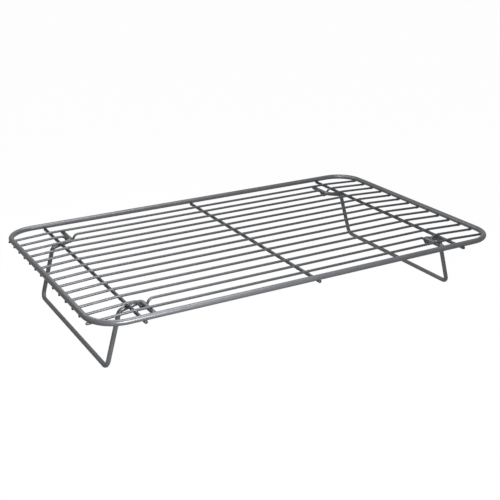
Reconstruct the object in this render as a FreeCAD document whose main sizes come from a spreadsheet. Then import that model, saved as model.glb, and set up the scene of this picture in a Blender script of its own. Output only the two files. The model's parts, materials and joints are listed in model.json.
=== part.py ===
import FreeCAD, Part
import math
import os
import Sketcher
from FreeCAD import Vector

# Wire cooling rack with two folding legs, in millimetres.
#
# The deck is a rounded rectangle of thick wire (the rim). Fourteen thin grid wires run along its
# length and are welded under its short sides; three cross wires run across it, under the grid
# wires, and are welded under its long sides. The second grid wire from each long side has two
# U-shaped dips, which are the saddles of the legs: each leg is one bent wire whose two ends lie in
# the dips, below the outermost grid wires, and turn there. Open, the leg's cranks bear on an outer
# cross wire. Folded, the leg lies under the grid.
#
# +X runs along the rack, +Y to the rear and +Z up. The origin is on the table, midway between the
# feet.

DIMENSIONS = [
    ("rim_length", 405.0, "length over the rim"),
    ("rim_width", 250.0, "width over the rim"),
    ("rim_top", 61.0, "height of the rim's top above the table, on open legs"),
    ("rim_wire", 5.0, "diameter of the rim wire"),
    ("rim_corner", 26.5, "centreline radius of the rim's corners"),
    ("grid_wire", 2.3, "diameter of the grid wires"),
    ("edge_gap", 18.5, "outer grid wire to the centreline of the rim's long side"),
    ("slope_start", 2.5, "from an outer cross wire to where the grid wires bend down to the rim"),
    ("slope_bend", 40.0, "centreline radius of that bend"),
    ("cross_wire", 3.0, "diameter of the cross wires"),
    ("cross_inset", 40.0, "outer cross wire to the centreline of the rim's short side"),
    ("weld_set", 0.25, "depth that two crossing wires are pressed into each other by the weld"),
    ("wire_tail", 1.6, "what a welded wire's end stands out past the rim's centreline"),
    ("leg_wire", 4.0, "diameter of the leg wire"),
    ("foot_inset", 20.5, "foot bar to the centreline of the rim's short side"),
    ("foot_bend", 6.0, "centreline radius between the foot bar and an upright"),
    ("elbow_reach", 6.0, "elbow to the outer cross wire, towards the rack's end"),
    ("elbow_bend", 5.0, "centreline radius between an upright and a crank"),
    ("crank_reach", 13.0, "pivot axis to the outer cross wire"),
    ("pivot_bend", 3.5, "centreline radius between a crank and a pivot bar"),
    ("pivot_tail", 6.0, "what a pivot bar stands out past the outer grid wire's centreline"),
    ("pivot_gap", 0.15, "clearance of a pivot bar in its dip and below the outer grid wire"),
    ("pivot_bevel", 0.4, "bevel on the end of a pivot bar"),
    ("stop_gap", 0.10, "clearance between a crank and the cross wire that stops it"),
    ("bend_gap", 0.35, "from the side of a dipped wire to where the pivot bar starts to bend"),
    ("dip_angle", 60.0, "angle of a dip's flanks to the deck"),
    ("dip_bend", 5.0, "centreline radius at the top of a dip's flanks"),
]

GRID_WIRES = 14
DIPPED_WIRES = (2, GRID_WIRES - 1)


class Size:
    """A size that carries its number and the spreadsheet expression that it comes from."""

    def __init__(self, number, text):
        self.number = number
        self.text = text

    def combined(self, other, sign, number):
        other_text = other.text if isinstance(other, Size) else repr(float(other))
        return Size(number, "(%s %s %s)" % (self.text, sign, other_text))

    def __add__(self, other):
        return self.combined(other, "+", self.number + number_of(other))

    def __sub__(self, other):
        return self.combined(other, "-", self.number - number_of(other))

    def __mul__(self, other):
        return self.combined(other, "*", self.number * number_of(other))

    def __truediv__(self, other):
        return self.combined(other, "/", self.number / number_of(other))

    def __neg__(self):
        return Size(-self.number, "(-1 * %s)" % self.text)


def number_of(value):
    return value.number if isinstance(value, Size) else float(value)


ZERO = Size(0.0, "0")


def cosine(angle):
    """Cosine of an angle in degrees."""
    return Size(math.cos(math.radians(angle.number)), "cos(%s)" % angle.text)


def tangent(angle):
    """Tangent of an angle in degrees."""
    return Size(math.tan(math.radians(angle.number)), "tan(%s)" % angle.text)


document = FreeCAD.newDocument("CoolingRack")
sheet = document.addObject("Spreadsheet::Sheet", "Dimensions")


def fill_sheet():
    """Write each driving dimension to the sheet and return them all as named sizes."""
    sizes = {}
    for row, (alias, value, note) in enumerate(DIMENSIONS, start=1):
        sheet.set("A%d" % row, alias)
        sheet.set("B%d" % row, str(value))
        sheet.set("C%d" % row, note)
        sheet.setAlias("B%d" % row, alias)
        sizes[alias] = Size(value, "Dimensions.%s" % alias)
    document.recompute()
    return sizes


dim = fill_sheet()

# ---- places that follow from the driving dimensions ----

# The rim's centreline rectangle.
rim_end = (dim["rim_length"] - dim["rim_wire"]) / 2
rim_side = (dim["rim_width"] - dim["rim_wire"]) / 2

# Levels of the wires' centrelines above the table. Each crossing is set down by the weld.
rim_level = dim["rim_top"] - dim["rim_wire"] / 2
tail_level = rim_level - (dim["rim_wire"] + dim["grid_wire"]) / 2 + dim["weld_set"]
cross_level = rim_level - (dim["rim_wire"] + dim["cross_wire"]) / 2 + dim["weld_set"]
grid_level = cross_level + (dim["cross_wire"] + dim["grid_wire"]) / 2 - dim["weld_set"]
foot_level = dim["leg_wire"] / 2

# Places along and across the rack.
cross_place = rim_end - dim["cross_inset"]
pivot_place = cross_place - dim["crank_reach"]
elbow_place = cross_place + dim["elbow_reach"]
foot_place = rim_end - dim["foot_inset"]
wire_end = rim_end + dim["wire_tail"]
grid_pitch = (rim_side - dim["edge_gap"]) * 2 / (GRID_WIRES - 1)


def grid_place(number):
    """Place across the rack of a grid wire, counted from 1 at the rear."""
    return grid_pitch * ((GRID_WIRES + 1) / 2 - number)


# The pivot axis lies a clearance below the outermost grid wires.
pivot_level = grid_level - (dim["grid_wire"] + dim["leg_wire"]) / 2 - dim["pivot_gap"]
saddle_bend = (dim["grid_wire"] + dim["leg_wire"]) / 2 + dim["pivot_gap"]
leg_side = grid_place(DIPPED_WIRES[0]) - dim["pivot_bend"] - dim["grid_wire"] / 2 - dim["bend_gap"]
pivot_end = grid_place(1) + dim["pivot_tail"]


# ---- tools for bent wire ----

def bend_points(before, corner, after, radius):
    """Start, middle and end of the arc that rounds a corner of a path of straight runs."""
    towards = (before - corner).normalize()
    away = (after - corner).normalize()
    half_angle = towards.getAngle(away) / 2
    bisector = (towards + away).normalize()
    centre = corner + bisector * (radius / math.sin(half_angle))
    reach = radius / math.tan(half_angle)
    return corner + towards * reach, centre - bisector * radius, corner + away * reach, centre


def draw_spine(sketch, corners, bends):
    """Draw straight runs from corner to corner, with a tangent arc at each inner corner.

    The corners are held by construction points, whose distances from the origin and whose
    bend radii are bound to the sheet.
    """
    points = [Vector(across.number, up.number, 0) for across, up in corners]
    ends = [points[0]]
    arcs = []
    for index, bend in enumerate(bends, start=1):
        start, middle, end, centre = bend_points(*points[index - 1:index + 2], bend.number)
        ends += [start, end]
        arcs.append((start, end, centre))
    ends.append(points[-1])

    lines = [
        sketch.addGeometry(Part.LineSegment(ends[2 * run], ends[2 * run + 1]), False)
        for run in range(len(points) - 1)
    ]
    for number, (start, end, centre) in enumerate(arcs):
        left_turn = (start - centre).cross(end - centre).z > 0
        first, last = (start, end) if left_turn else (end, start)
        circle = Part.Circle(centre, Vector(0, 0, 1), bends[number].number)
        arc = Part.ArcOfCircle(circle, circle.parameter(first), circle.parameter(last))
        arc_id = sketch.addGeometry(arc, False)
        arc_start, arc_end = (1, 2) if left_turn else (2, 1)
        sketch.addConstraint(Sketcher.Constraint("Tangent", lines[number], 2, arc_id, arc_start))
        sketch.addConstraint(Sketcher.Constraint("Tangent", arc_id, arc_end, lines[number + 1], 1))
        bind(sketch, Sketcher.Constraint("Radius", arc_id, bends[number].number), bends[number])
        corner_id = sketch.addGeometry(Part.Point(points[number + 1]), True)
        sketch.addConstraint(Sketcher.Constraint("PointOnObject", corner_id, 1, lines[number]))
        sketch.addConstraint(Sketcher.Constraint("PointOnObject", corner_id, 1, lines[number + 1]))
        place_point(sketch, corner_id, 1, corners[number + 1])
    place_point(sketch, lines[0], 1, corners[0])
    place_point(sketch, lines[-1], 2, corners[-1])


def bind(sketch, constraint, size):
    """Add a dimensional constraint and bind it to the expression of a size."""
    index = sketch.addConstraint(constraint)
    sketch.setExpression("Constraints[%d]" % index, size.text)


def place_point(sketch, geometry, end, place):
    """Hold one point of a sketch at its two distances from the origin."""
    for kind, distance in zip(("DistanceX", "DistanceY"), place):
        constraint = Sketcher.Constraint(kind, -1, 1, geometry, end, distance.number)
        bind(sketch, constraint, distance)


def origin_plane(body, role):
    return next(plane for plane in body.Origin.OriginFeatures if plane.Role == role)


def new_sketch(body, name, plane_role):
    sketch = body.newObject("Sketcher::SketchObject", name)
    sketch.AttachmentSupport = [(origin_plane(body, plane_role), "")]
    sketch.MapMode = "FlatFace"
    return sketch


def draw_section(sketch, place, diameter):
    """Draw a wire's round section."""
    centre = Vector(place[0].number, place[1].number, 0)
    circle = Part.Circle(centre, Vector(0, 0, 1), diameter.number / 2)
    circle_id = sketch.addGeometry(circle, False)
    place_point(sketch, circle_id, 3, place)
    bind(sketch, Sketcher.Constraint("Diameter", circle_id, diameter.number), diameter)


def new_body(label):
    body = document.addObject("PartDesign::Body", label)
    body.Label = label
    return body


def bent_half_wire(body, plane_role, corners, bends, diameter):
    """Sweep a wire from the middle of the rack to one end, and mirror it to the other end."""
    spine = new_sketch(body, "Centreline", plane_role)
    draw_spine(spine, corners, bends)
    section = new_sketch(body, "Section", "YZ_Plane")
    start = corners[0][1]
    draw_section(section, (start, ZERO) if plane_role == "XY_Plane" else (ZERO, start), diameter)
    document.recompute()
    wire = body.newObject("PartDesign::AdditivePipe", "Wire")
    wire.Profile = section
    wire.Spine = spine
    document.recompute()
    mirrored = body.newObject("PartDesign::Mirrored", "BothHalves")
    mirrored.Originals = [wire]
    mirrored.MirrorPlane = (origin_plane(body, "YZ_Plane"), [""])
    body.Tip = mirrored
    document.recompute()


# ---- the deck ----

def make_rim():
    """The closed ring of thick wire."""
    body = new_body("frame_rim")
    body.setExpression(".Placement.Base.z", rim_level.text)
    corners = [(ZERO, -rim_side), (rim_end, -rim_side), (rim_end, rim_side), (ZERO, rim_side)]
    bends = [dim["rim_corner"], dim["rim_corner"]]
    bent_half_wire(body, "XY_Plane", corners, bends, dim["rim_wire"])
    return body


def dip_corners():
    """Corners and bends of one dip, whose bottom is an arc about the pivot axis."""
    valley_level = pivot_level - saddle_bend / cosine(dim["dip_angle"])
    half_mouth = (grid_level - valley_level) / tangent(dim["dip_angle"])
    corners = [
        (pivot_place - half_mouth, grid_level),
        (pivot_place, valley_level),
        (pivot_place + half_mouth, grid_level),
    ]
    return corners, [dim["dip_bend"], saddle_bend, dim["dip_bend"]]


def make_grid_wire(number):
    """A wire along the rack: level over the cross wires, then sloping down under the rim."""
    body = new_body("grid_wire_%02d" % number)
    body.setExpression(".Placement.Base.y", grid_place(number).text)
    dip, dip_bends = dip_corners() if number in DIPPED_WIRES else ([], [])
    slope_place = cross_place + dim["slope_start"]
    slope = (grid_level - tail_level) / (rim_end - slope_place)
    end_level = tail_level - slope * dim["wire_tail"]
    corners = [(ZERO, grid_level), *dip, (slope_place, grid_level), (wire_end, end_level)]
    bent_half_wire(body, "XZ_Plane", corners, dip_bends + [dim["slope_bend"]], dim["grid_wire"])
    return body


def make_cross_wire(name, place):
    """A straight wire across the rack, under the grid wires and the rim's long sides."""
    body = new_body(name)
    body.setExpression(".Placement.Base.x", place.text)
    section = new_sketch(body, "Section", "XZ_Plane")
    draw_section(section, (ZERO, cross_level), dim["cross_wire"])
    document.recompute()
    wire = body.newObject("PartDesign::Pad", "Wire")
    wire.Profile = section
    wire.Midplane = True
    wire.setExpression("Length", ((rim_side + dim["wire_tail"]) * 2).text)
    body.Tip = wire
    document.recompute()
    return body


# ---- the legs ----

def crank_slope():
    """Slope of an open crank: the tangent of the angle at which it just clears its stop."""
    rise = cross_level.number - pivot_level.number
    reach = dim["crank_reach"].number
    clear = (dim["cross_wire"].number + dim["leg_wire"].number) / 2 + dim["stop_gap"].number
    angle = math.asin(clear / math.hypot(reach, rise)) - math.atan2(rise, reach)
    return math.tan(angle)


def leg_path(side):
    """Centreline of a leg, from one pivot bar's end to the other's."""
    pivot = side * pivot_place.number
    elbow = side * elbow_place.number
    elbow_level = pivot_level.number - crank_slope() * (elbow_place - pivot_place).number
    half = [
        (Vector(pivot, pivot_end.number, pivot_level.number), None),
        (Vector(pivot, leg_side.number, pivot_level.number), dim["pivot_bend"].number),
        (Vector(elbow, leg_side.number, elbow_level), dim["elbow_bend"].number),
        (Vector(side * foot_place.number, leg_side.number, foot_level.number), dim["foot_bend"].number),
    ]
    other_half = [(Vector(point.x, -point.y, point.z), bend) for point, bend in reversed(half)]
    stations = half + other_half
    edges = []
    run_start = stations[0][0]
    for index in range(1, len(stations) - 1):
        before, (corner, bend), after = stations[index - 1][0], stations[index], stations[index + 1][0]
        start, middle, end, _ = bend_points(before, corner, after, bend)
        edges.append(Part.LineSegment(run_start, start).toShape())
        edges.append(Part.Arc(start, middle, end).toShape())
        run_start = end
    edges.append(Part.LineSegment(run_start, stations[-1][0]).toShape())
    return Part.Wire(edges)


def end_circles(shape):
    """Numbers of the circles round the two flat ends of a wire."""
    circles = [face.Edges[0] for face in shape.Faces if isinstance(face.Surface, Part.Plane)]
    edges = enumerate(shape.Edges, start=1)
    return [number for number, edge in edges if any(edge.isSame(circle) for circle in circles)]


def make_leg(name, side):
    """One bent wire: pivot bar, crank, upright, foot bar, upright, crank, pivot bar."""
    path = document.addObject("Part::Feature", name + "_path")
    path.Shape = leg_path(side)
    section = document.addObject("Part::Circle", name + "_section")
    section.setExpression("Radius", (dim["leg_wire"] / 2).text)
    section.setExpression(".Placement.Base.x", (pivot_place * side).text)
    section.setExpression(".Placement.Base.y", pivot_end.text)
    section.setExpression(".Placement.Base.z", pivot_level.text)
    section.Placement.Rotation = FreeCAD.Rotation(Vector(1, 0, 0), 90)
    wire = document.addObject("Part::Sweep", name + "_wire")
    wire.Sections = [section]
    wire.Spine = (path, ["Edge%d" % (index + 1) for index in range(len(path.Shape.Edges))])
    wire.Solid = True
    document.recompute()
    leg = document.addObject("Part::Chamfer", name)
    leg.Base = wire
    bevel = dim["pivot_bevel"].number
    leg.Edges = [(number, bevel, bevel) for number in end_circles(wire.Shape)]
    leg.Label = name
    document.recompute()
    return leg


def make_rack():
    """All the pieces, each one a document object of its own."""
    pieces = [make_rim()]
    pieces += [make_grid_wire(number) for number in range(1, GRID_WIRES + 1)]
    pieces += [
        make_cross_wire("cross_wire_left", -cross_place),
        make_cross_wire("cross_wire_middle", ZERO),
        make_cross_wire("cross_wire_right", cross_place),
        make_leg("leg_left", -1),
        make_leg("leg_right", 1),
    ]
    return pieces


def check(pieces):
    """Stop unless every object recomputed and every piece is one valid solid."""
    for item in document.Objects:
        if "Invalid" in item.State or "Error" in item.State:
            raise RuntimeError("%s did not recompute: %s" % (item.Label, item.State))
    for piece in pieces:
        if piece.Shape.isNull() or not piece.Shape.isValid() or len(piece.Shape.Solids) != 1:
            raise RuntimeError("%s is not one valid solid" % piece.Label)


def export(pieces):
    """Write one STEP file for each piece."""
    os.makedirs("parts", exist_ok=True)
    for piece in pieces:
        piece.Shape.exportStep(os.path.join("parts", piece.Label + ".step"))


rack = make_rack()
document.recompute()
check(rack)
export(rack)
print("pieces:", len(rack))
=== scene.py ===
import json
import math

import bpy
from bpy.props import FloatProperty, FloatVectorProperty, IntProperty, PointerProperty
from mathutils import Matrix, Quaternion, Vector


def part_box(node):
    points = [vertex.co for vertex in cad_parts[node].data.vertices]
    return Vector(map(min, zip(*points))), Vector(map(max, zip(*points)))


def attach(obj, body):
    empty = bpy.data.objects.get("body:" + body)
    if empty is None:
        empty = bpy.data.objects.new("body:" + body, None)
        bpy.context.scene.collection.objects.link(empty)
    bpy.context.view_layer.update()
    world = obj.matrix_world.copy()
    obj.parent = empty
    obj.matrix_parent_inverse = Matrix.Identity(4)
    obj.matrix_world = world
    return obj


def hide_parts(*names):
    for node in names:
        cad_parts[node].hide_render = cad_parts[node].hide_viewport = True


bl_info = {
    "name": "Wire Cooling Rack",
    "version": (1, 0, 0),
    "blender": (4, 5, 0),
    "location": "3D View > Sidebar > Rack",
    "description": "A wire cooling rack with folding legs: coated wires, welds and a pale studio",
    "category": "Object",
}

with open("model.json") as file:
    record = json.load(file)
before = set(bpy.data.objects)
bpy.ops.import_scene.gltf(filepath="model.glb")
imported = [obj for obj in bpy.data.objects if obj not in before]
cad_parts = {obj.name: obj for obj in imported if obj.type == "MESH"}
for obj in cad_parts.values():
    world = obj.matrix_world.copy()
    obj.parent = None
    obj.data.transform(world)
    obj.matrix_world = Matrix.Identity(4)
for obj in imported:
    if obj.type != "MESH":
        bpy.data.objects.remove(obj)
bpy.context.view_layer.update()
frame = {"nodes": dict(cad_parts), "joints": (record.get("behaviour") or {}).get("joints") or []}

DECK = "deck"
GRID_NODES = sorted(name for name in frame["nodes"] if name.startswith("grid_wire"))
CROSS_NODES = sorted(name for name in frame["nodes"] if name.startswith("cross_wire"))
LEGS = {"leg_left": ("left_leg", "left_leg_fold"), "leg_right": ("right_leg", "right_leg_fold")}
UP = Vector((0, 0, 1))

# How finely the wires are modelled.
BEND_STEP = math.radians(5)
LEAST_BEND_STEPS = 3
RIM_EXTRA_SIDES = 8
TIP_SEGMENTS = 5
MERGE_DISTANCE = 1e-6
SMOOTH_ANGLE = math.radians(50)

# How a weld is rebuilt from two spindles.
SPINDLE_SIDES = 32
SPINDLE_RINGS = 20
FILLET_FACTOR = 0.6

# How the coating varies over the surface.
NOISE_ROUGHNESS = 0.55
PATCH_DETAIL = 3.0
RIPPLE_DETAIL = 2.0
RIPPLE_STRENGTH = 0.5
PATCH_ROUGHNESS = 0.12
METALLIC = 0.45
FLAKE_METALLIC = 0.12
FLAKE_GLOSS = 0.08
FLAKE_COVER = 0.5
FLAKE_BRIGHTNESS = 2.6

# The colour sockets of a Mix node, which share their names with its other kinds.
MIX_FIRST, MIX_SECOND, MIX_RESULT = 6, 7, 2

FLOOR_SIZE = 12

# Each lamp's name, size, place and the point it shines at. Its power is a setting of the stage.
LAMPS = (
    ("key", 0.15, (-0.16, -0.34, 0.16), (-0.12, -0.10, 0.05)),
    ("fill", 0.20, (-0.13, -0.43, 0.20), (-0.10, -0.10, 0.05)),
    ("top", 0.35, (0, 0, 0.50), (0, 0, 0.05)),
    ("front", 0.20, (-0.02, -0.25, 0.40), (-0.05, -0.05, 0.05)),
    ("rear", 0.20, (-0.10, 0.20, 0.30), (-0.10, 0.10, 0.05)),
)


# ---- sizes and colours that a user would change ----

class RackSizes(bpy.types.PropertyGroup):
    """Sizes that the frame's boxes don't give."""

    rim_corner: FloatProperty(
        name="Rim corner", description="Centreline radius of the rim's corners",
        default=0.0265, min=0.006, subtype="DISTANCE", unit="LENGTH")
    slope_start: FloatProperty(
        name="Slope start",
        description="From an outer cross wire to where the grid wires bend down",
        default=0.0025, subtype="DISTANCE", unit="LENGTH")
    slope_bend: FloatProperty(
        name="Slope bend", description="Centreline radius of that bend",
        default=0.040, subtype="DISTANCE", unit="LENGTH")
    dip_angle: FloatProperty(
        name="Dip angle", description="Angle of a dip's flanks to the deck",
        default=math.radians(60), subtype="ANGLE", unit="ROTATION")
    dip_bend: FloatProperty(
        name="Dip bend", description="Centreline radius at the top of a dip's flanks",
        default=0.005, subtype="DISTANCE", unit="LENGTH")
    leg_side: FloatProperty(
        name="Leg side", description="From the middle of the rack to a leg's upright",
        default=0.083, subtype="DISTANCE", unit="LENGTH")
    elbow_reach: FloatProperty(
        name="Elbow reach", description="From the pivot axis to the elbow, along the rack",
        default=0.019, subtype="DISTANCE", unit="LENGTH")
    stop_gap: FloatProperty(
        name="Stop gap", description="Between an open crank and the cross wire above it",
        default=0.0001, precision=5, subtype="DISTANCE", unit="LENGTH")
    foot_bend: FloatProperty(
        name="Foot bend", description="Centreline radius between the foot bar and an upright",
        default=0.006, subtype="DISTANCE", unit="LENGTH")
    elbow_bend: FloatProperty(
        name="Elbow bend", description="Centreline radius between an upright and a crank",
        default=0.005, subtype="DISTANCE", unit="LENGTH")
    pivot_bend: FloatProperty(
        name="Pivot bend", description="Centreline radius between a crank and a pivot bar",
        default=0.0035, subtype="DISTANCE", unit="LENGTH")
    tip_rounding: FloatProperty(
        name="Tip rounding",
        description="Rounding of a cut wire end under its coating, in wire diameters",
        default=0.27, min=0.05, max=0.45)
    wire_sides: IntProperty(
        name="Wire sides", description="Sides of a wire's round section",
        default=28, min=12, max=64)


class WeldSizes(bpy.types.PropertyGroup):
    """Size of the swelling where two wires are welded and coated over."""

    swell: FloatProperty(
        name="Swell", description="What a weld stands out over its wires before it is smoothed",
        default=0.00016, precision=5, subtype="DISTANCE", unit="LENGTH")
    rim_inset: FloatProperty(
        name="Rim inset",
        description="How far a weld stays under the rim's surface away from the crease",
        default=0.00003, precision=5, subtype="DISTANCE", unit="LENGTH")
    spread: FloatProperty(
        name="Spread", description="Half length of a weld along each wire, in wire diameters",
        default=1.55, min=0.8, max=3.0)
    grain: FloatProperty(
        name="Grain", description="Size of the faces that a weld is rebuilt from",
        default=0.00022, precision=5, subtype="DISTANCE", unit="LENGTH")
    smoothing: IntProperty(
        name="Smoothing", description="Rounds of smoothing that turn the crease into a fillet",
        default=6, min=1, max=40)


class CoatingLook(bpy.types.PropertyGroup):
    """The satin grey non-stick coating."""

    colour: FloatVectorProperty(
        name="Colour", description="Mean colour of the coating",
        default=(0.103, 0.106, 0.112), min=0, max=1, subtype="COLOR")
    mottle: FloatProperty(
        name="Mottle", description="Strength of the soft patches left by uneven spraying",
        default=0.15, min=0, max=1, subtype="FACTOR")
    patch_size: FloatProperty(
        name="Patch size", description="Size of those patches",
        default=0.011, subtype="DISTANCE", unit="LENGTH")
    flake_share: FloatProperty(
        name="Flake share", description="Share of the surface that metal flakes brighten",
        default=0.14, min=0, max=1, subtype="FACTOR")
    flake_size: FloatProperty(
        name="Flake size", description="Size of a metal flake in the coating",
        default=0.00013, precision=5, subtype="DISTANCE", unit="LENGTH")
    roughness: FloatProperty(
        name="Roughness", description="Mean roughness of the coating",
        default=0.30, min=0, max=1, subtype="FACTOR")
    peel_size: FloatProperty(
        name="Peel size", description="Size of the fine ripple of the sprayed surface",
        default=0.0011, precision=5, subtype="DISTANCE", unit="LENGTH")
    peel_depth: FloatProperty(
        name="Peel depth", description="Depth of that ripple",
        default=0.00006, precision=6, subtype="DISTANCE", unit="LENGTH")


class StageLook(bpy.types.PropertyGroup):
    """Camera, floor and lamps."""

    azimuth: FloatProperty(
        name="Azimuth", description="Direction of the camera round the rack, from its front",
        default=math.radians(-29.653), subtype="ANGLE", unit="ROTATION")
    elevation: FloatProperty(
        name="Elevation", description="Height of the camera above the horizon",
        default=math.radians(20.827), subtype="ANGLE", unit="ROTATION")
    roll: FloatProperty(
        name="Roll", description="Turn of the camera about its own line of sight",
        default=math.radians(-0.215), subtype="ANGLE", unit="ROTATION")
    distance: FloatProperty(
        name="Distance", description="From the camera to the point that it aims at",
        default=0.8379, subtype="DISTANCE", unit="LENGTH")
    aim: FloatVectorProperty(
        name="Aim", description="The point aimed at, from the middle of the rim",
        default=(-0.01895, -0.0369, 0.0), subtype="XYZ", unit="LENGTH")
    lens: FloatProperty(
        name="Lens", description="Focal length of the camera, in millimetres",
        default=66.09, min=1)
    floor_colour: FloatVectorProperty(
        name="Floor colour", description="Colour of the pale floor",
        default=(0.86, 0.86, 0.86), min=0, max=1, subtype="COLOR")
    floor_bounce: FloatProperty(
        name="Floor bounce", description="Share of light that the floor throws back on the rack",
        default=0.05, min=0, max=1, subtype="FACTOR")
    floor_glow: FloatProperty(
        name="Floor glow", description="Share of plain white in the floor that the camera sees",
        default=0.985, min=0, max=1, subtype="FACTOR")
    world_strength: FloatProperty(
        name="World strength", description="Strength of the light from all round",
        default=0.05, min=0)
    key_power: FloatProperty(
        name="Key power", description="Power of the lamp near the left front corner, in watts",
        default=1.05, min=0)
    fill_power: FloatProperty(
        name="Fill power", description="Power of the larger lamp behind the key lamp, in watts",
        default=1.40, min=0)
    top_power: FloatProperty(
        name="Top power", description="Power of the lamp over the middle, in watts",
        default=2.2, min=0)
    front_power: FloatProperty(
        name="Front power", description="Power of the high lamp at the front, in watts",
        default=0.35, min=0)
    rear_power: FloatProperty(
        name="Rear power", description="Power of the lamp over the rear left, in watts",
        default=0.38, min=0)


# ---- tools for bent wire ----

def deselect():
    """Leave edit mode and select nothing."""
    if bpy.context.object and bpy.context.object.mode != "OBJECT":
        bpy.ops.object.mode_set(mode="OBJECT")
    bpy.ops.object.select_all(action="DESELECT")


def select_only(*items):
    deselect()
    for item in items:
        item.select_set(True)
    bpy.context.view_layer.objects.active = items[0]


def settle(item):
    """Put the object's place into its mesh."""
    select_only(item)
    bpy.ops.object.transform_apply(location=True, rotation=True, scale=True)


def extrude_by(step):
    bpy.ops.mesh.extrude_region_move(TRANSFORM_OT_translate={"value": step})


def start_ring(corners, diameter, sides):
    """Add the round section at the start of a path and enter edit mode with it selected."""
    deselect()
    ahead = (corners[1] - corners[0]).normalized()
    turn = ahead.to_track_quat("Z", "Y").to_euler()
    bpy.ops.mesh.primitive_circle_add(
        vertices=sides, radius=diameter / 2, location=corners[0], rotation=turn)
    bpy.ops.object.mode_set(mode="EDIT")
    bpy.ops.mesh.select_all(action="SELECT")
    return bpy.context.object


def follow_path(corners, bends):
    """Extrude the selected section along straight runs and spin it round the bends between."""
    here = corners[0]
    for before, corner, after, radius in zip(corners, corners[1:], corners[2:], bends):
        ahead = (corner - before).normalized()
        onward = (after - corner).normalized()
        turn = ahead.angle(onward)
        axis = ahead.cross(onward).normalized()
        bend_start = corner - ahead * radius * math.tan(turn / 2)
        extrude_by(bend_start - here)
        centre = bend_start + axis.cross(ahead) * radius
        steps = max(LEAST_BEND_STEPS, math.ceil(turn / BEND_STEP))
        bpy.ops.mesh.spin(steps=steps, angle=-turn, center=centre, axis=axis)
        here = centre + Quaternion(axis, turn) @ (bend_start - centre)
    extrude_by(corners[-1] - here)


def select_open_edges():
    bpy.ops.mesh.select_mode(type="EDGE")
    bpy.ops.mesh.select_all(action="DESELECT")
    bpy.ops.mesh.select_non_manifold(
        extend=False, use_wire=False, use_boundary=True,
        use_multi_face=False, use_non_contiguous=False, use_verts=False)


def round_tips(rounding):
    """Close both cut ends and round their edges, as a coating does."""
    select_open_edges()
    bpy.ops.mesh.edge_face_add()
    select_tip_rims()
    bpy.ops.mesh.bevel(
        offset=rounding, offset_type="OFFSET", segments=TIP_SEGMENTS, affect="EDGES")


def select_tip_rims():
    """Select the edges round the two flat end faces, which are the faces with the most sides."""
    bpy.ops.object.mode_set(mode="OBJECT")
    mesh = bpy.context.object.data
    tips = {face.index for face in mesh.polygons if len(face.vertices) > 4}
    rim_keys = {key for index in tips for key in mesh.polygons[index].edge_keys}
    for edge in mesh.edges:
        edge.select = edge.key in rim_keys
    for face in mesh.polygons:
        face.select = face.index in tips
    bpy.ops.object.mode_set(mode="EDIT")


def finish_mesh(item, name):
    """Merge doubles, point the faces outwards, smooth the shading and name the piece."""
    bpy.ops.object.mode_set(mode="EDIT")
    bpy.ops.mesh.select_all(action="SELECT")
    bpy.ops.mesh.remove_doubles(threshold=MERGE_DISTANCE)
    bpy.ops.mesh.normals_make_consistent(inside=False)
    bpy.ops.object.mode_set(mode="OBJECT")
    settle(item)
    bpy.ops.object.shade_smooth_by_angle(angle=SMOOTH_ANGLE)
    item.name = name
    item.data.name = name
    return item


def bent_wire(name, corners, bends, diameter, sizes):
    """A wire with two cut ends, bent along straight runs."""
    wire = start_ring(corners, diameter, sizes.wire_sides)
    follow_path(corners, bends)
    round_tips(diameter * sizes.tip_rounding)
    return finish_mesh(wire, name)


def closed_wire(name, corners, bends, diameter, sides):
    """A wire bent into a ring: its last section meets its first."""
    wire = start_ring(corners, diameter, sides)
    follow_path(corners, bends)
    return finish_mesh(wire, name)


def dress(piece, body, slot, material, *nodes):
    """Finish a piece: its material, the body that it rides on and the nodes that it stands for."""
    piece.data.materials.clear()
    piece.data.materials.append(material)
    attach(piece, body)
    if nodes:
        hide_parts(*nodes)


# ---- where the frame puts the wires ----

def box_middle(node):
    low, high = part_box(node)
    return (Vector(low) + Vector(high)) / 2


def box_size(node):
    low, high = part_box(node)
    return Vector(high) - Vector(low)


class RimPlace:
    """The rim's wire diameter, level and centreline rectangle."""

    def __init__(self):
        size = box_size("frame_rim")
        self.diameter = size.z
        self.level = box_middle("frame_rim").z
        self.end = (size.x - size.z) / 2
        self.side = (size.y - size.z) / 2


class GridPlace:
    """Levels and ends that all the grid wires share, read from a plain one."""

    def __init__(self):
        plain = GRID_NODES[0]
        low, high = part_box(plain)
        self.diameter = box_size(plain).y
        self.level = high[2] - self.diameter / 2
        self.end = high[0]
        self.end_level = low[2] + self.diameter / 2


class PivotPlace:
    """A leg's pivot axis, wire diameter, foot and bar end, on the side that the leg stands."""

    def __init__(self, node):
        low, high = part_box(node)
        joint = next(item for item in frame["joints"] if item["name"] == LEGS[node][1])
        self.axis = Vector(joint["pos_m"])
        self.side = math.copysign(1, self.axis.x)
        self.diameter = 2 * (high[2] - self.axis.z)
        self.foot = max(abs(low[0]), abs(high[0])) - self.diameter / 2
        self.foot_level = low[2] + self.diameter / 2
        self.bar_end = high[1]


# ---- the coating ----

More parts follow.
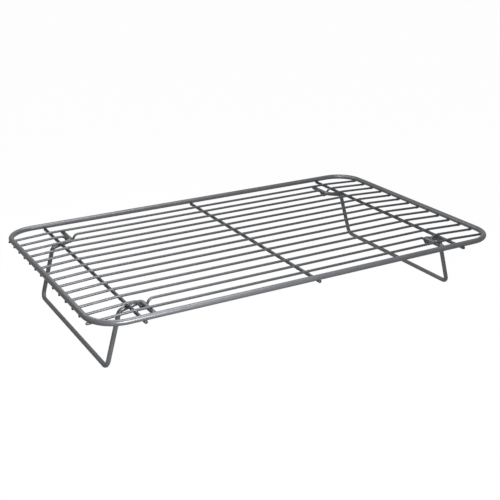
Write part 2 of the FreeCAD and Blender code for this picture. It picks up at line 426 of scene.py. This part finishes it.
class Socket:
    """A shader value. Arithmetic on it adds Math nodes to its tree."""

    def __init__(self, graph, output):
        self.graph = graph
        self.output = output

    def math(self, operation, *values):
        inputs = dict(enumerate(values))
        return self.graph.node("ShaderNodeMath", {"operation": operation}, inputs)

    def __add__(self, other):
        return self.math("ADD", self, other)

    def __radd__(self, other):
        return self.math("ADD", other, self)

    def __sub__(self, other):
        return self.math("SUBTRACT", self, other)

    def __rsub__(self, other):
        return self.math("SUBTRACT", other, self)

    def __mul__(self, other):
        return self.math("MULTIPLY", self, other)

    def __rmul__(self, other):
        return self.math("MULTIPLY", other, self)

    def above(self, low, high):
        """Rises smoothly from 0 at low to 1 at high."""
        settings = {"interpolation_type": "SMOOTHSTEP"}
        inputs = {"Value": self, "From Min": low, "From Max": high}
        return self.graph.node("ShaderNodeMapRange", settings, inputs, "Result")


class Graph:
    """A material's node tree, emptied."""

    def __init__(self, owner):
        owner.use_nodes = True
        self.tree = owner.node_tree
        self.tree.nodes.clear()

    def node(self, kind, settings=None, inputs=None, output=0):
        """Add a node, set it up, fill its sockets and return one of its outputs, if it has any."""
        made = self.tree.nodes.new(kind)
        for key, value in (settings or {}).items():
            setattr(made, key, value)
        for key, value in (inputs or {}).items():
            if isinstance(value, Socket):
                self.tree.links.new(value.output, made.inputs[key])
            else:
                made.inputs[key].default_value = value
        return Socket(self, made.outputs[output]) if made.outputs else None


def satin_coating(context, name, seed, painted_shade_and_weld_tone=1.0, extra_roughness=0.0):
    """Sprayed grey non-stick coating: soft mottle, fine metal flake and a slight ripple.

    The seed moves the pattern, so that pieces differ. The colour factor after it multiplies the
    mean colour.
    It paints shade onto the grid and cross wires, which share the rim's coating but are darkened
    to how their shade and narrower highlights make them look. On the welds it gives a darker tone
    of their own.
    """
    look = context.scene.rack_coating
    material = bpy.data.materials.new(name)
    graph = Graph(material)
    place = graph.node("ShaderNodeTexCoord", output="Object")
    shifted = graph.node(
        "ShaderNodeMapping", None, {"Vector": place, "Location": (seed, seed / 2, 0)})

    def noise(size, detail):
        inputs = {
            "Vector": shifted, "Scale": 1 / size, "Detail": detail, "Roughness": NOISE_ROUGHNESS}
        return graph.node("ShaderNodeTexNoise", None, inputs, "Fac")

    patches = noise(look.patch_size, PATCH_DETAIL)
    ripple = noise(look.peel_size, RIPPLE_DETAIL)
    cells = {"Vector": shifted, "Scale": 1 / look.flake_size}
    flake_colour = graph.node("ShaderNodeTexVoronoi", None, cells, "Color")
    flake_value = graph.node("ShaderNodeSeparateColor", None, {"Color": flake_colour}, "Red")
    flakes = flake_value.above(1 - look.flake_share, 1.0)

    # The colour factor is painted shade on the grid and cross wires and a darker tone on the
    # welds; the patches add random mottle.
    brightness = painted_shade_and_weld_tone * (1 + (patches - 0.5) * 2 * look.mottle)
    base = list(look.colour)
    scaled = graph.node(
        "ShaderNodeVectorMath", {"operation": "SCALE"},
        {"Vector": base, "Scale": brightness}, "Vector")
    flake_tint = [min(1.0, channel * FLAKE_BRIGHTNESS) for channel in base]
    colour = graph.node(
        "ShaderNodeMix", {"data_type": "RGBA"},
        {"Factor": flakes * FLAKE_COVER, MIX_FIRST: scaled, MIX_SECOND: (*flake_tint, 1.0)},
        MIX_RESULT)
    mean_roughness = look.roughness + extra_roughness
    roughness = mean_roughness + (patches - 0.5) * PATCH_ROUGHNESS - flakes * FLAKE_GLOSS
    bump = graph.node(
        "ShaderNodeBump", None,
        {"Strength": RIPPLE_STRENGTH, "Distance": look.peel_depth, "Height": ripple}, "Normal")
    surface = graph.node(
        "ShaderNodeBsdfPrincipled", None,
        {
            "Base Color": colour, "Roughness": roughness,
            "Metallic": METALLIC + flakes * FLAKE_METALLIC,
            "Specular IOR Level": 0.0, "Normal": bump,
        })
    graph.node("ShaderNodeOutputMaterial", None, {"Surface": surface})
    return material


# ---- the pieces ----

class RACK_OT_add_rim(bpy.types.Operator):
    """Add the closed ring of thick wire"""

    bl_idname = "rack.add_rim"
    bl_label = "Add Rim"

    def execute(self, context):
        sizes = context.scene.rack_sizes
        place = RimPlace()
        front, rear = -place.side, place.side
        corners = [
            Vector((across, along, place.level)) for across, along in (
                (0, front), (place.end, front), (place.end, rear),
                (-place.end, rear), (-place.end, front), (0, front))
        ]
        bends = [sizes.rim_corner] * 4
        rim = closed_wire(
            "coated_rim", corners, bends, place.diameter, sizes.wire_sides + RIM_EXTRA_SIDES)
        material = satin_coating(context, "sprayed_rim", seed=0.11)
        dress(rim, DECK, "rim_coating", material, "frame_rim")
        return {"FINISHED"}


def wire_half(sizes, place, across, pivot=None, dip_bottom=None):
    """Corners and bends of the right half of a grid wire, from its dip, if any, outwards."""
    cross = box_middle(CROSS_NODES[-1]).x
    slope_place = cross + sizes.slope_start
    corners = [
        Vector((slope_place, across, place.level)),
        Vector((place.end, across, place.end_level)),
    ]
    bends = [sizes.slope_bend]
    if pivot:
        saddle = pivot.z - dip_bottom
        valley = pivot.z - saddle / math.cos(sizes.dip_angle)
        half_mouth = (place.level - valley) / math.tan(sizes.dip_angle)
        dip = [
            (pivot.x - half_mouth, place.level),
            (pivot.x, valley),
            (pivot.x + half_mouth, place.level),
        ]
        corners = [Vector((along, across, level)) for along, level in dip] + corners
        bends = [sizes.dip_bend, saddle, sizes.dip_bend] + bends
    return corners, bends


class RACK_OT_add_grid_wires(bpy.types.Operator):
    """Add the thin wires along the rack, two of them dipped to carry the legs"""

    bl_idname = "rack.add_grid_wires"
    bl_label = "Add Grid Wires"

    def execute(self, context):
        sizes = context.scene.rack_sizes
        place = GridPlace()
        # Painted shade: the grid wires have the rim's coating, darkened to 0.7 of its colour
        # because thin wires catch narrower highlights and look darker.
        material = satin_coating(context, "sprayed_grid", seed=0.37, painted_shade_and_weld_tone=0.7)
        pivot = PivotPlace("leg_right").axis
        for node in GRID_NODES:
            low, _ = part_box(node)
            dipped = low[2] < place.end_level - place.diameter
            dip_bottom = low[2] + place.diameter / 2
            across = box_middle(node).y
            corners, bends = wire_half(
                sizes, place, across, pivot if dipped else None, dip_bottom)
            mirrored = [Vector((-corner.x, corner.y, corner.z)) for corner in reversed(corners)]
            wire = bent_wire(
                node.replace("grid", "coated_grid"), mirrored + corners, bends[::-1] + bends,
                place.diameter, sizes)
            dress(wire, DECK, "grid_coating", material, node)
        return {"FINISHED"}


class RACK_OT_add_cross_wires(bpy.types.Operator):
    """Add the wires across the rack, under the grid"""

    bl_idname = "rack.add_cross_wires"
    bl_label = "Add Cross Wires"

    def execute(self, context):
        sizes = context.scene.rack_sizes
        # Painted shade: the cross wires have the rim's coating, darkened to half its colour for
        # the shade they lie in under the grid.
        material = satin_coating(context, "sprayed_cross", seed=0.53, painted_shade_and_weld_tone=0.5)
        for node in CROSS_NODES:
            middle = box_middle(node)
            reach = Vector((0, box_size(node).y / 2, 0))
            wire = bent_wire(
                node.replace("cross", "coated_cross"), [middle - reach, middle + reach], [],
                box_size(node).x, sizes)
            dress(wire, DECK, "grid_coating", material, node)
        return {"FINISHED"}


class RACK_OT_add_legs(bpy.types.Operator):
    """Add the two folding legs, each one bent wire"""

    bl_idname = "rack.add_legs"
    bl_label = "Add Legs"

    def execute(self, context):
        sizes = context.scene.rack_sizes
        material = satin_coating(context, "sprayed_leg", seed=0.71)
        stop = box_middle(CROSS_NODES[-1])
        stop_diameter = box_size(CROSS_NODES[-1]).x
        for node, (body, _) in LEGS.items():
            place = PivotPlace(node)
            pivot = abs(place.axis.x)
            reach, rise = stop.x - pivot, stop.z - place.axis.z
            clear = (stop_diameter + place.diameter) / 2 + sizes.stop_gap
            slope = math.asin(clear / math.hypot(reach, rise)) - math.atan2(rise, reach)
            elbow_level = place.axis.z - sizes.elbow_reach * math.tan(slope)
            half = [
                (pivot, place.bar_end, place.axis.z),
                (pivot, sizes.leg_side, place.axis.z),
                (pivot + sizes.elbow_reach, sizes.leg_side, elbow_level),
                (place.foot, sizes.leg_side, place.foot_level),
            ]
            rear = [Vector((place.side * along, across, level)) for along, across, level in half]
            front = [Vector((corner.x, -corner.y, corner.z)) for corner in reversed(rear)]
            bends = [sizes.pivot_bend, sizes.elbow_bend, sizes.foot_bend]
            leg = bent_wire(
                "coated_" + node, rear + front, bends + bends[::-1], place.diameter, sizes)
            dress(leg, body, "leg_coating", material, node)
        return {"FINISHED"}


def spindle(along, level, diameter, weld, tail=None):
    """A slim ellipsoid along a wire, a little thicker than the wire at its middle.

    Where the wire ends soon after the crossing, tail is its length from there, and the spindle is
    moved back to end inside it.
    """
    deselect()
    bpy.ops.mesh.primitive_uv_sphere_add(
        segments=SPINDLE_SIDES, ring_count=SPINDLE_RINGS, radius=0.5)
    item = bpy.context.object
    width = diameter + 2 * weld.swell
    reach = diameter * weld.spread
    ahead = reach if tail is None else min(reach, tail)
    along = Vector(along)
    item.scale = (width, width, reach + ahead)
    item.rotation_euler = along.to_track_quat("Z", "Y").to_euler()
    item.location = along * (ahead - reach) / 2 + Vector((0, 0, level))
    settle(item)
    return item


def weld_knuckle(weld, upper, lower):
    """The smoothed swelling of one crossing.

    Each of upper and lower is a wire's direction, its level from the crossing's middle, its
    diameter and, where it ends there, its tail.
    """
    pieces = [spindle(direction, level, diameter, weld, *tail)
              for direction, level, diameter, *tail in (upper, lower)]
    select_only(*pieces)
    bpy.ops.object.join()
    knuckle = bpy.context.object
    rebuilt = knuckle.modifiers.new("Rebuild", "REMESH")
    rebuilt.mode = "VOXEL"
    rebuilt.voxel_size = weld.grain
    smoothed = knuckle.modifiers.new("Fillet", "SMOOTH")
    smoothed.factor = FILLET_FACTOR
    smoothed.iterations = weld.smoothing
    for modifier in ("Rebuild", "Fillet"):
        bpy.ops.object.modifier_apply(modifier=modifier)
    return knuckle


def place_knuckles(name, knuckle, places):
    """Copy a knuckle to each place and join the copies into one piece."""
    copies = []
    for place in places:
        select_only(knuckle)
        bpy.ops.object.duplicate()
        copy = bpy.context.object
        copy.location = place
        copies.append(copy)
    bpy.data.objects.remove(knuckle)
    select_only(*copies)
    if len(copies) > 1:
        bpy.ops.object.join()
    joined = bpy.context.object
    settle(joined)
    bpy.ops.object.shade_smooth()
    joined.name = name
    joined.data.name = name
    return joined


class RACK_OT_add_welds(bpy.types.Operator):
    """Add the coated-over welds where the wires cross"""

    bl_idname = "rack.add_welds"
    bl_label = "Add Welds"

    def execute(self, context):
        weld = context.scene.rack_welds
        sizes = context.scene.rack_sizes
        rim = RimPlace()
        grid = GridPlace()
        material = satin_coating(
            context, "sprayed_weld", seed=0.93, painted_shade_and_weld_tone=0.8, extra_roughness=0.03)
        cross_level = box_middle(CROSS_NODES[0]).z
        cross_diameter = box_size(CROSS_NODES[0]).x
        rim_core = rim.diameter - 2 * (weld.swell + weld.rim_inset)
        grid_rows = [box_middle(node).y for node in GRID_NODES]
        cross_columns = [box_middle(node).x for node in CROSS_NODES]

        def add(name, upper, lower, spots):
            """Each wire is its direction, level, diameter and perhaps tail."""
            middle = (upper[1] + lower[1]) / 2
            wires = [
                (direction, level - middle, *rest)
                for direction, level, *rest in (upper, lower)
            ]
            places = [(*spot, middle) for spot in spots]
            piece = place_knuckles(name, weld_knuckle(weld, *wires), places)
            dress(piece, DECK, "grid_coating", material)

        along_x, along_y = Vector((1, 0, 0)), Vector((0, 1, 0))
        for node, column in zip(CROSS_NODES, cross_columns):
            add(node.replace("cross_wire", "grid_welds"),
                (along_x, grid.level, grid.diameter),
                (along_y, cross_level, cross_diameter),
                [(column, row) for row in grid_rows])

        corner_start = rim.side - sizes.rim_corner
        slope_place = cross_columns[-1] + sizes.slope_start
        slope = (grid.level - grid.end_level) / (grid.end - slope_place)

        def sloping_end(sign, column):
            """The end of a grid wire on one side, where it crosses the rim at this distance."""
            level = grid.level - slope * (column - slope_place)
            return Vector((sign, 0, 0)), level, grid.diameter, grid.end - column

        for side_name, sign in (("left", -1), ("right", 1)):
            straight = [row for row in grid_rows if abs(row) < corner_start]
            add("rim_welds_" + side_name, sloping_end(sign, rim.end),
                (along_y, rim.level, rim_core),
                [(sign * rim.end, row) for row in straight])
            for row in (row for row in grid_rows if abs(row) >= corner_start):
                beyond = abs(row) - corner_start
                corner_reach = math.sqrt(sizes.rim_corner ** 2 - beyond ** 2)
                column = rim.end - sizes.rim_corner + corner_reach
                lean = math.asin(beyond / sizes.rim_corner) * sign * math.copysign(1, row)
                rim_direction = Quaternion(UP, lean) @ along_y
                end_name = "front" if row < 0 else "rear"
                add(f"corner_weld_{side_name}_{end_name}", sloping_end(sign, column),
                    (rim_direction, rim.level, rim_core), [(sign * column, row)])

        cross_end = box_size(CROSS_NODES[0]).y / 2
        for side_name, sign in (("front", -1), ("rear", 1)):
            add("side_welds_" + side_name, (along_x, rim.level, rim_core),
                (along_y * sign, cross_level, cross_diameter, cross_end - rim.side),
                [(column, sign * rim.side) for column in cross_columns])
        return {"FINISHED"}


# ---- the stage ----

def add_lamp(name, power, size, place, aim):
    """Add a square lamp that shines at a point."""
    deselect()
    bpy.ops.object.light_add(type="AREA", location=place)
    lamp = bpy.context.object
    lamp.name = name
    lamp.data.energy = power
    lamp.data.size = size
    lamp.visible_camera = False
    lamp.rotation_euler = (Vector(aim) - Vector(place)).to_track_quat("-Z", "Y").to_euler()


def seen_by_camera_or_gloss(graph):
    """1 for rays from the camera and from a glossy surface, and 0 for the light that is spread."""
    camera_ray = graph.node("ShaderNodeLightPath", output="Is Camera Ray")
    glossy_ray = graph.node("ShaderNodeLightPath", output="Is Glossy Ray")
    return camera_ray.math("MAXIMUM", camera_ray, glossy_ray)


def pale_floor_material(look):
    """A pale floor that takes the rack's shadow and throws little light back."""
    material = bpy.data.materials.new("pale_floor")
    graph = Graph(material)
    bounce = graph.node("ShaderNodeBsdfDiffuse", None, {"Color": (*[look.floor_bounce] * 3, 1.0)})
    pale = graph.node("ShaderNodeBsdfDiffuse", None, {"Color": (*look.floor_colour, 1.0)})
    white = graph.node("ShaderNodeEmission", None, {"Color": (1, 1, 1, 1), "Strength": 1.0})
    shown = graph.node("ShaderNodeMixShader", None, {0: look.floor_glow, 1: pale, 2: white})
    seen = seen_by_camera_or_gloss(graph)
    mixed = graph.node("ShaderNodeMixShader", None, {0: seen, 1: bounce, 2: shown})
    graph.node("ShaderNodeOutputMaterial", None, {"Surface": mixed})
    return material


def white_world(look):
    """Faint even light from all round; the camera and gloss see plain white."""
    world = bpy.data.worlds.new("Studio")
    bpy.context.scene.world = world
    graph = Graph(world)
    seen = seen_by_camera_or_gloss(graph)
    strength = look.world_strength + seen * (1 - look.world_strength)
    background = graph.node(
        "ShaderNodeBackground", None, {"Color": (1, 1, 1, 1), "Strength": strength})
    graph.node("ShaderNodeOutputWorld", None, {"Surface": background})


class RACK_OT_set_stage(bpy.types.Operator):
    """Set up the pale floor, the lamps and the camera"""

    bl_idname = "rack.set_stage"
    bl_label = "Set Stage"

    def execute(self, context):
        look = context.scene.rack_stage
        aim = Vector((0, 0, RimPlace().level)) + Vector(look.aim)
        back = Vector((
            math.sin(look.azimuth) * math.cos(look.elevation),
            -math.cos(look.azimuth) * math.cos(look.elevation),
            math.sin(look.elevation)))
        deselect()
        turn = back.to_track_quat("Z", "Y") @ Quaternion(UP, look.roll)
        bpy.ops.object.camera_add(location=aim + back * look.distance, rotation=turn.to_euler())
        camera = context.object
        camera.data.lens = look.lens
        context.scene.camera = camera

        deselect()
        bpy.ops.mesh.primitive_plane_add(size=FLOOR_SIZE, location=(0, 0, 0))
        floor = context.object
        floor.name = "pale_floor"
        floor.data.materials.append(pale_floor_material(look))

        white_world(look)
        for name, size, place, lit_point in LAMPS:
            add_lamp(name, getattr(look, name + "_power"), size, place, lit_point)
        context.scene.view_settings.view_transform = "Standard"
        return {"FINISHED"}


class RACK_PT_panel(bpy.types.Panel):
    """Lists the rack's sizes, looks and pieces"""

    bl_label = "Cooling Rack"
    bl_idname = "RACK_PT_panel"
    bl_space_type = "VIEW_3D"
    bl_region_type = "UI"
    bl_category = "Rack"

    def draw(self, context):
        scene = context.scene
        for group in (scene.rack_sizes, scene.rack_welds, scene.rack_coating, scene.rack_stage):
            column = self.layout.column()
            for key in group.__annotations__:
                column.prop(group, key)
        for operator in OPERATORS:
            self.layout.operator(operator.bl_idname)


OPERATORS = (
    RACK_OT_set_stage, RACK_OT_add_rim, RACK_OT_add_grid_wires, RACK_OT_add_cross_wires,
    RACK_OT_add_legs, RACK_OT_add_welds,
)
GROUPS = {
    "rack_sizes": RackSizes, "rack_welds": WeldSizes, "rack_coating": CoatingLook,
    "rack_stage": StageLook,
}


def register():
    for group in GROUPS.values():
        bpy.utils.register_class(group)
    for operator in OPERATORS:
        bpy.utils.register_class(operator)
    bpy.utils.register_class(RACK_PT_panel)
    for name, group in GROUPS.items():
        setattr(bpy.types.Scene, name, PointerProperty(type=group))


def unregister():
    for name in GROUPS:
        delattr(bpy.types.Scene, name)
    bpy.utils.unregister_class(RACK_PT_panel)
    for operator in reversed(OPERATORS):
        bpy.utils.unregister_class(operator)
    for group in reversed(GROUPS.values()):
        bpy.utils.unregister_class(group)


def main():
    register()
    bpy.ops.rack.set_stage()
    bpy.ops.rack.add_rim()
    bpy.ops.rack.add_grid_wires()
    bpy.ops.rack.add_cross_wires()
    bpy.ops.rack.add_legs()
    bpy.ops.rack.add_welds()


if __name__ == "__main__":
    main()
